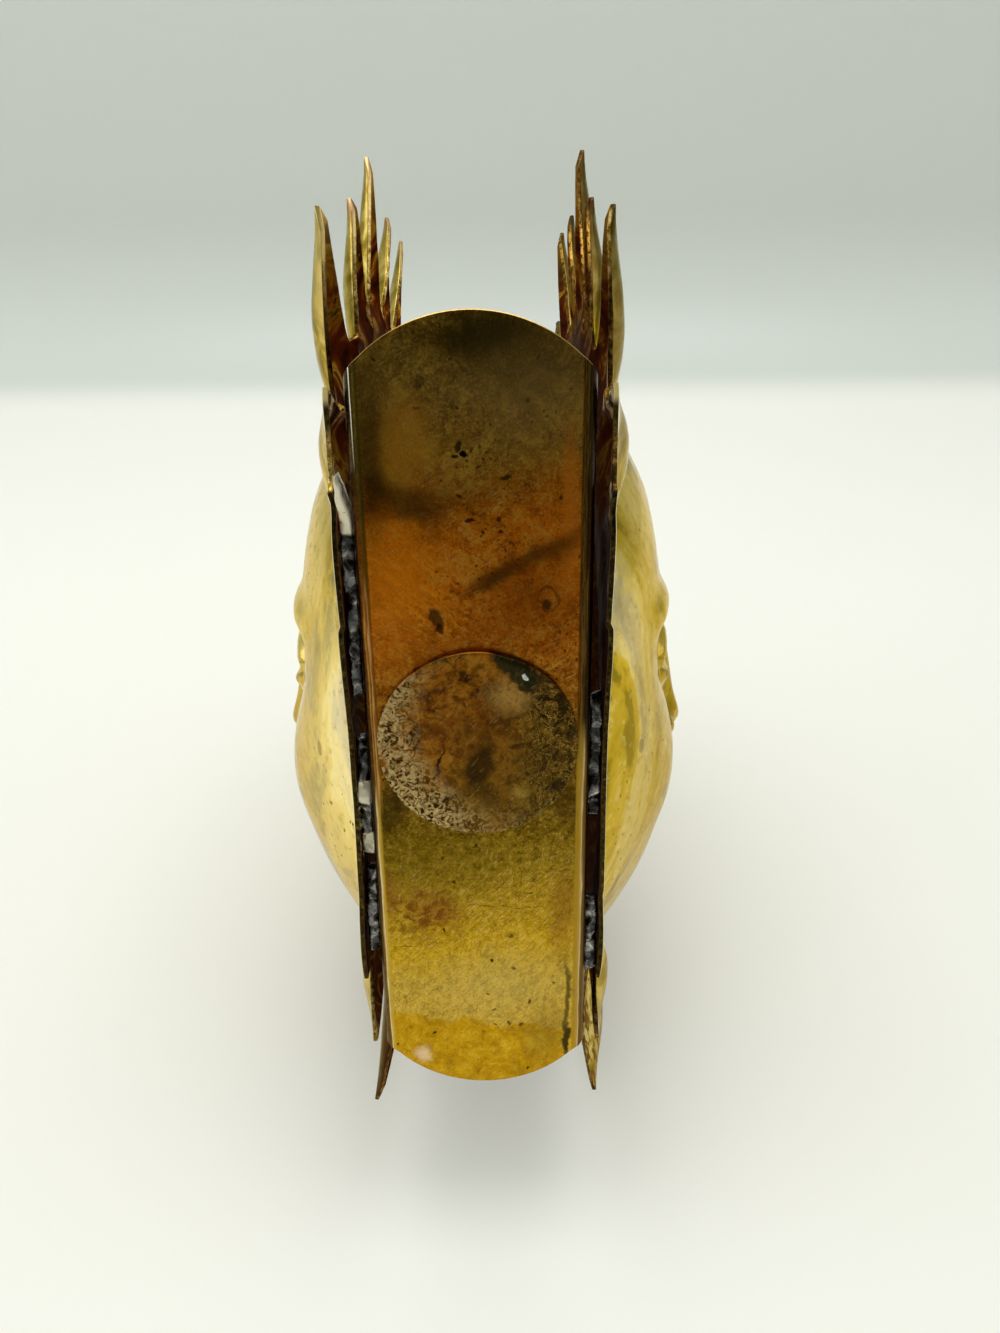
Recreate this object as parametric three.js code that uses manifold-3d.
// Double-faced sun ornament in sheet brass.
//
// Two pressed sun masks stand back to back, their faces outward, and are soft-soldered to the side
// flanges of one folded base channel. A thin mounting disc is sweated onto the outside of its web.
// Millimetres, +Z up. The ornament is built upright about the centre of the sun, with the web of the
// channel facing -Y, and is then leaned back so that it stands on two neighbouring pairs of long rays.

import * as THREE from 'three';
import { mergeVertices } from 'three/addons/utils/BufferGeometryUtils.js';
import Module from 'manifold-3d';

const wasm = await Module();
wasm.setup();

const { clamp, degToRad, lerp, smoothstep } = THREE.MathUtils;

// ---------------------------------------------------------------------------------------------
// Driving dimensions
// ---------------------------------------------------------------------------------------------

const sheet = 1.0; // thickness of the brass of the channel and the masks

// head: an oval dome in the middle of each mask
const headHalfWidth = 66;
const headHalfHeight = 70;
const headDrop = 7; // middle of the head below the centre of the rays
const headRise = 19.3; // height of the dome above the plane of the rays
const headCollar = 4; // flat sheet that is left below the head before the rays part
const maskToe = degToRad(1.2); // each mask turns in towards the other at the back

// rays: long and short ones take turns round the head
const rayPairs = 12; // one long and one short ray in each pair
const longRayLength = 32; // from the notches beside it to its tip
const shortRayLength = 24;
const rayCamber = 2.8; // outward crown along the middle of a ray
const rimCamberShare = 0.1; // share of that crown where a ray is soldered to the channel
const rayTaper = 1.6; // above 1 the flanks of a ray are hollow and its tip slender
const handCutRays = new Map([[-2, 2.4], [-1, 1], [-3, -3], [-9, -8]]); // extra length, by place
const shallowNotch = { place: 2 * rayPairs - 3.5, extra: 8.4 }; // the notch at the trimmed edge

// base channel: one folded sheet with an arc at each end
const channelWidth = 42.6; // over the flanges
const channelStraight = 137.6; // from corner to corner, without the arcs
const channelRaise = 3.3; // middle of the channel above the centre of the sun
const flangeDepth = 14;
const bendRadiusTop = 2.8; // outside radius of the fold at the upper end
const bendRadiusBottom = 1.4; // and at the lower end
const arcRise = 11.6; // height of the arc at each end of the web
const upperArcOverhang = 0.7; // how far the upper arc's corners stand past the flanges
const lowerArcInset = 0.4; // and how far the lower one's stay inside them
const arcRelief = 0.3; // the arcs' corners stay this far clear of the ends of the flanges

// seams between the channel and the masks
const rimCollar = 4.9; // flat sheet from the side of the head to the trimmed edge of the mask
const rimSetback = 0.6; // trimmed edge behind the front face of the web
const rimOverlap = 10.1; // how far inside the notches of the rays a mask is trimmed, at least
const seamWidth = 2.4; // from a flange to the mask beside it
const seamClearance = 0.2; // between a run of solder and what it wets
const solderInset = 2.2; // front of the solder behind the front face of the web

// mounting disc
const discDiameter = 38.2;
const discThickness = 1.0;
const discRaise = 6.0; // centre of the disc above the centre of the sun
const filmThickness = 0.2; // solder film under the disc
const filmClearance = 0.1;
const filmMargin = 0.8; // how far the film stays inside the disc's edge

// ---------------------------------------------------------------------------------------------
// Values that follow from them
// ---------------------------------------------------------------------------------------------

const rayPitch = Math.PI / rayPairs; // angle between neighbouring rays
const lean = rayPitch; // half the angle between two neighbouring long rays
const rimPlane = -(headHalfWidth + rimCollar);
const channelFront = rimPlane - rimSetback;
const channelHalf = channelWidth / 2;
const channelTop = channelRaise + channelStraight / 2;
const channelBottom = channelRaise - channelStraight / 2;
const notchRadius = Math.max(headDrop + headHalfHeight + headCollar, rimOverlap - rimPlane);
const maskInner = channelHalf + seamWidth; // inner face of a mask at its trimmed edge

// ---------------------------------------------------------------------------------------------
// Solids
// ---------------------------------------------------------------------------------------------

// A closed geometry becomes a solid that can be cut and joined.
function solidFrom(geometry) {
  const bare = geometry.clone();
  bare.deleteAttribute('normal');
  bare.deleteAttribute('uv');
  const merged = mergeVertices(bare, 1e-5);
  const mesh = new wasm.Mesh({
    numProp: 3,
    vertProperties: Float32Array.from(merged.attributes.position.array),
    triVerts: Uint32Array.from(merged.index.array),
  });
  return new wasm.Manifold(mesh);
}

function geometryFrom(solid) {
  const mesh = solid.getMesh();
  const geometry = new THREE.BufferGeometry();
  geometry.setAttribute('position', new THREE.BufferAttribute(mesh.vertProperties, mesh.numProp));
  geometry.setIndex(new THREE.BufferAttribute(mesh.triVerts, 1));
  geometry.computeVertexNormals();
  return geometry;
}

function geometryFromTriangles(points, triangles) {
  const geometry = new THREE.BufferGeometry();
  geometry.setAttribute('position', new THREE.Float32BufferAttribute(points.flat(), 3));
  geometry.setIndex(triangles.flat());
  return geometry;
}

// The solid for the right-hand side, or its mirror image for the left.
function forSide(side, solid) {
  return geometryFrom(side > 0 ? solid : solid.mirror([1, 0, 0]));
}

// A closed body through a row of level sections, listed from the lowest to the highest. Each has the
// same number of [x, y, z] points, going anticlockwise seen from above.
function loft(sections) {
  const count = sections[0].length;
  const triangles = [];
  for (let level = 0; level < sections.length - 1; level += 1) {
    for (let i = 0; i < count; i += 1) {
      const low = level * count + i;
      const lowNext = level * count + ((i + 1) % count);
      triangles.push([low, lowNext, lowNext + count], [low, lowNext + count, low + count]);
    }
  }
  const outline = sections[0].map(([x, y]) => new THREE.Vector2(x, y));
  const last = (sections.length - 1) * count;
  for (const [a, b, c] of THREE.ShapeUtils.triangulateShape(outline, [])) {
    triangles.push([a, c, b], [last + a, last + b, last + c]);
  }
  return geometryFromTriangles(sections.flat(), triangles);
}

// ---------------------------------------------------------------------------------------------
// Base channel
// ---------------------------------------------------------------------------------------------

// Half of the folded section, from the web round the bend to the edge of the flange.
function foldedHalf(bendRadius, inset) {
  const arcSteps = 5;
  const points = [];
  for (let step = 0; step <= arcSteps; step += 1) {
    const angle = (step / arcSteps) * (Math.PI / 2);
    points.push([
      channelHalf - bendRadius + (bendRadius - inset) * Math.sin(angle),
      channelFront + bendRadius - (bendRadius - inset) * Math.cos(angle),
    ]);
  }
  points.push([channelHalf - inset, channelFront + flangeDepth]);
  return points;
}

function channelSection(z, bendRadius) {
  const outside = foldedHalf(bendRadius, 0);
  const inside = foldedHalf(bendRadius, sheet);
  const mirrored = (points) => points.map(([x, y]) => [-x, y]);
  const outline = [
    ...outside,
    ...inside.slice().reverse(),
    ...mirrored(inside),
    ...mirrored(outside).reverse(),
  ];
  return outline.map(([x, y]) => [x, y, z]);
}

// The arc-shaped tab that ends the web, on a root that runs into the web.
function arcTab(halfChord) {
  const root = 3;
  const rise = arcRise - arcRelief;
  const radius = (halfChord ** 2 + rise ** 2) / (2 * rise);
  const halfAngle = Math.asin(halfChord / radius);
  const flatHalf = channelHalf - Math.max(bendRadiusTop, bendRadiusBottom);
  const shape = new THREE.Shape();
  shape.moveTo(-flatHalf, -root);
  shape.lineTo(flatHalf, -root);
  shape.lineTo(flatHalf, arcRelief);
  shape.lineTo(halfChord, arcRelief);
  shape.absarc(0, arcRise - radius, radius, Math.PI / 2 - halfAngle, Math.PI / 2 + halfAngle, false);
  shape.lineTo(-flatHalf, arcRelief);
  const geometry = new THREE.ExtrudeGeometry(shape, {
    depth: sheet,
    bevelEnabled: false,
    curveSegments: 32,
  });
  geometry.rotateX(Math.PI / 2);
  return geometry;
}

function makeChannel() {
  const levels = 6;
  const sections = [];
  for (let level = 0; level <= levels; level += 1) {
    const along = level / levels;
    const bendRadius = lerp(bendRadiusBottom, bendRadiusTop, along);
    sections.push(channelSection(lerp(channelBottom, channelTop, along), bendRadius));
  }
  const upperTab = arcTab(channelHalf + upperArcOverhang);
  upperTab.translate(0, channelFront + sheet, channelTop);
  const lowerTab = arcTab(channelHalf - lowerArcInset);
  lowerTab.rotateY(Math.PI);
  lowerTab.translate(0, channelFront + sheet, channelBottom);
  return geometryFrom(solidFrom(loft(sections)).add(solidFrom(upperTab)).add(solidFrom(lowerTab)));
}

// ---------------------------------------------------------------------------------------------
// Head
// ---------------------------------------------------------------------------------------------

// The face is divided into equal thirds from hairline to brow, brow to nose and nose to chin.
const faceThird = 42;
const browHeight = 23 - headDrop;
const noseBase = browHeight - faceThird;
const noseTip = noseBase + 5;
const noseRise = 9.5;
const mouthHeight = noseBase - faceThird / 3;
const chinHeight = noseBase - faceThird * 0.82;
const eyeHeight = browHeight - 11;
const eyeAcross = 22; // centre of each eye from the middle line

// Each feature is a smooth hill or hollow: its height, its middle (across, up) and its half widths.
const features = [
  { name: 'brow', rise: 2.6, across: 23, up: browHeight, halfAcross: 17, halfUp: 5 },
  { name: 'eye socket', rise: -3.6, across: eyeAcross, up: eyeHeight - 1, halfAcross: 13, halfUp: 8 },
  { name: 'eye', rise: 3.4, across: eyeAcross, up: eyeHeight, halfAcross: 9, halfUp: 5 },
  { name: 'cheek', rise: 3.0, across: 33, up: noseBase + 5, halfAcross: 16, halfUp: 16 },
  { name: 'lips', rise: 3.6, across: 0, up: mouthHeight, halfAcross: 16, halfUp: 6 },
  { name: 'chin', rise: 4.0, across: 0, up: chinHeight, halfAcross: 15, halfUp: 9 },
];

// The ridge of the nose, from between the brows down to the tip and under it.
function noseHeight(side, up) {
  const root = browHeight + 4;
  const down = clamp((root - up) / (root - noseTip), 0, 1);
  const under = smoothstep(up, noseBase - 3, noseTip);
  const halfWidth = 4.5 + 4 * down ** 3;
  return noseRise * down ** 0.8 * under * Math.exp(-((side / halfWidth) ** 2));
}

// Height of the head above the plane of the rays.
function headHeight(across, up) {
  const side = Math.abs(across);
  const fullness = Math.hypot(across / headHalfWidth, (up + headDrop) / headHalfHeight);
  let face = noseHeight(side, up);
  for (const hill of features) {
    const away = ((side - hill.across) / hill.halfAcross) ** 2 + ((up - hill.up) / hill.halfUp) ** 2;
    face += hill.rise * Math.exp(-away);
  }
  const dome = Math.max(0, 1 - fullness ** 3.5);
  const faceShare = Math.max(0, 1 - fullness ** 6);
  return headRise * dome + face * faceShare;
}

// Distance from the centre of the rays to the head's oval edge, at an angle from straight up.
function headEdge(angle) {
  const a = (Math.cos(angle) / headHalfHeight) ** 2 + (Math.sin(angle) / headHalfWidth) ** 2;
  const b = (headDrop * Math.cos(angle)) / headHalfHeight ** 2;
  const c = (headDrop / headHalfHeight) ** 2 - 1;
  return (-b + Math.sqrt(b * b - a * c)) / a;
}

// ---------------------------------------------------------------------------------------------
// Masks
// ---------------------------------------------------------------------------------------------

// How far an angle is from the middle line of its ray: 0 on it and 1 in the notches beside it.
function rayShare(angle) {
  const place = angle / rayPitch;
  return Math.abs(place - Math.round(place)) * 2;
}

// The place of the nearest ray, counted from the top one, positive towards the back.
function rayPlace(angle) {
  const place = Math.round(angle / rayPitch);
  return place > rayPairs ? place - 2 * rayPairs : place;
}

// Distance from the centre of the rays to the mask's outline. Its notches are hollow between the rays.
function outlineRadius(angle) {
  const place = rayPlace(angle);
  const length = place % 2 === 0 ? longRayLength : shortRayLength;
  const cut = handCutRays.get(place) ?? 0;
  const fromNotch = Math.abs(angle / rayPitch - shallowNotch.place);
  const filled = shallowNotch.extra * Math.max(0, 1 - 2 * fromNotch) ** 2;
  return notchRadius + filled + (length + cut) * (1 - rayShare(angle)) ** rayTaper;
}

// A point of the mask's inner face in the direction of the angle (0 up, positive towards the back), at
// a share of the way from the centre to the edge of the head (0 to 1) or on to the outline (1 to 2).
function maskPoint(angle, share) {
  const edge = headEdge(angle);
  const onRay = Math.max(0, share - 1);
  const radius = edge * Math.min(1, share) + (outlineRadius(angle) - edge) * onRay;
  const y = radius * Math.sin(angle);
  const z = radius * Math.cos(angle);
  const clearOfChannel = smoothstep(y, channelFront, channelFront + flangeDepth);
  const camber = rayCamber * lerp(rimCamberShare, 1, clearOfChannel);
  const crown = camber * (1 - rayShare(angle) ** 2) * Math.sin(Math.PI * onRay ** 0.8);
  const head = onRay > 0 ? 0 : headHeight(y, z);
  return [head + crown, y, z];
}

// Triangles between two rings of columns, where the outer ring has as many columns or twice as many.
function stitch(innerStart, innerCount, outerStart, outerCount) {
  const ratio = outerCount / innerCount;
  const triangles = [];
  for (let i = 0; i < innerCount; i += 1) {
    const a = innerStart + i;
    const b = innerStart + ((i + 1) % innerCount);
    const first = outerStart + i * ratio;
    const last = outerStart + (((i + 1) * ratio) % outerCount);
    if (ratio === 1) {
      triangles.push([a, first, last], [a, last, b]);
    } else {
      const middle = first + 1;
      triangles.push([a, first, middle], [a, middle, b], [b, middle, last]);
    }
  }
  return triangles;
}

// The rings of a mask, from the middle of the face to the outline: share of the way, and columns.
function maskRings(columns) {
  const rings = [[0.08, columns / 8], [0.16, columns / 4]];
  const headRings = 10;
  for (let ring = 1; ring <= headRings; ring += 1) {
    rings.push([lerp(0.16, 0.96, ring / headRings), columns / 2]);
  }
  rings.push([1, columns], [1.3, columns], [1.55, columns], [1.8, columns], [2, columns]);
  return rings;
}

// One mask, with the inner plane of its rays at zero and its trimmed edge on the axis it turns about.
function makeMask(side) {
  const columns = rayPairs * 8;
  const rings = maskRings(columns);
  const centreCount = rings[0][1];
  const inner = [maskPoint(0, 0)];
  const triangles = [];
  for (let i = 0; i < centreCount; i += 1) {
    triangles.push([0, 1 + i, 1 + ((i + 1) % centreCount)]);
  }
  rings.forEach(([share, count], level) => {
    const start = inner.length;
    for (let i = 0; i < count; i += 1) {
      inner.push(maskPoint((2 * Math.PI * i) / count, share));
    }
    if (level > 0) {
      const before = rings[level - 1][1];
      triangles.push(...stitch(start - before, before, start, count));
    }
  });

  const total = inner.length;
  const outer = inner.map(([x, y, z]) => [x + sheet, y, z]);
  const front = triangles.map(([a, b, c]) => [a + total, c + total, b + total]);
  const edge = [];
  for (let i = 0; i < columns; i += 1) {
    const a = total - columns + i;
    const b = total - columns + ((i + 1) % columns);
    edge.push([a, b + total, b], [a, a + total, b + total]);
  }
  const whole = solidFrom(geometryFromTriangles([...inner, ...outer], [...front, ...triangles, ...edge]));

  const reach = notchRadius + 2 * longRayLength;
  const offcut = new THREE.BoxGeometry(reach, reach, 2 * reach);
  offcut.translate(0, rimPlane - reach / 2, 0);
  return forSide(side, whole.subtract(solidFrom(offcut)).translate([0, -rimPlane, 0]));
}

// ---------------------------------------------------------------------------------------------
// Solder
// ---------------------------------------------------------------------------------------------

// A lumpy run of solder between a flange and the mask beside it. Its ends are shares of the channel's
// straight length, from the lower corner; its section is an octagon that shrinks towards the ends.
function makeSolderRun(side, from, to, depth) {
  const levels = 8;
  const corners = 8;
  const endShare = 0.45; // width left at the ends of the run
  const rippleShare = 0.12; // how much the lumps stand out
  const inner = channelHalf + seamClearance;
  const outer = maskInner - seamClearance - (solderInset + depth) * Math.tan(maskToe);
  const middleX = (inner + outer) / 2;
  const middleY = channelFront + solderInset + depth / 2;
  const flatRadius = 1 / Math.cos(Math.PI / corners);
  const sections = [];
  for (let level = 0; level <= levels; level += 1) {
    const along = level / levels;
    const fullness = lerp(endShare, 1, Math.sqrt(Math.sin(Math.PI * along)));
    const lump = 1 - rippleShare * (level % 2);
    const z = lerp(channelBottom, channelTop, lerp(from, to, along));
    const section = [];
    for (let corner = 0; corner < corners; corner += 1) {
      const angle = (2 * Math.PI * (corner + 0.5)) / corners;
      const x = middleX + ((outer - inner) / 2) * fullness * flatRadius * Math.cos(angle);
      const y = middleY + (depth / 2) * fullness * lump * Math.sin(angle);
      section.push([x, y, z]);
    }
    sections.push(section);
  }
  return forSide(side, solidFrom(loft(sections)));
}

// ---------------------------------------------------------------------------------------------
// Materials and assembly
// ---------------------------------------------------------------------------------------------

const metal = (color, roughness) => new THREE.MeshStandardMaterial({ color, roughness, metalness: 1 });
const polishedBrass = metal(0xd8b45a, 0.28);
const agedBrass = metal(0x9a6f2c, 0.38);
const tinnedBrass = metal(0x8a7a52, 0.5);
const greySolder = metal(0x6d6f70, 0.55);

const upright = new THREE.Group();

function place(name, geometry, material) {
  const mesh = new THREE.Mesh(geometry, material);
  mesh.name = name;
  upright.add(mesh);
  return mesh;
}

place('base_channel', makeChannel(), agedBrass);

for (const [name, side] of [['left_mask', -1], ['right_mask', 1]]) {
  const mask = place(name, makeMask(side), polishedBrass);
  mask.position.set(side * maskInner, rimPlane, 0);
  mask.rotation.z = side * maskToe;
}

// A round plate lying on the web, with its back face at the given place along Y.
function placeRound(name, radius, thickness, back, material) {
  const round = place(name, new THREE.CylinderGeometry(radius, radius, thickness, 64), material);
  round.position.set(0, back - thickness / 2, discRaise);
}

const filmBack = channelFront - filmClearance;
const discBack = filmBack - filmThickness - filmClearance;
placeRound('disc_solder', discDiameter / 2 - filmMargin, filmThickness, filmBack, greySolder);
placeRound('mounting_disc', discDiameter / 2, discThickness, discBack, tinnedBrass);

// Each run of solder: its side, its lower and upper end as shares of the channel, and its depth.
const solderRuns = {
  left_upper_solder: [-1, 0.58, 0.92, 5],
  left_middle_solder: [-1, 0.33, 0.52, 4],
  left_lower_solder: [-1, 0.155, 0.3, 5],
  right_middle_solder: [1, 0.39, 0.58, 4.5],
  right_lower_solder: [1, 0.115, 0.25, 5],
};
for (const [name, [side, from, to, depth]] of Object.entries(solderRuns)) {
  place(name, makeSolderRun(side, from, to, depth), greySolder);
}

// Leaned back, the tips of two long rays on each mask share one level, which becomes height zero. The
// middle of the whole depth, from the foot of the channel to the rays at the back, becomes zero in Y.
const tipReach = (notchRadius + longRayLength) * Math.cos(lean);
const frontReach = -channelFront * Math.cos(lean) - (channelBottom - arcRise) * Math.sin(lean);
upright.rotation.x = -lean;
upright.position.set(0, (frontReach - tipReach) / 2, tipReach);

const sunOrnament = new THREE.Group();
sunOrnament.add(upright);

export default sunOrnament;
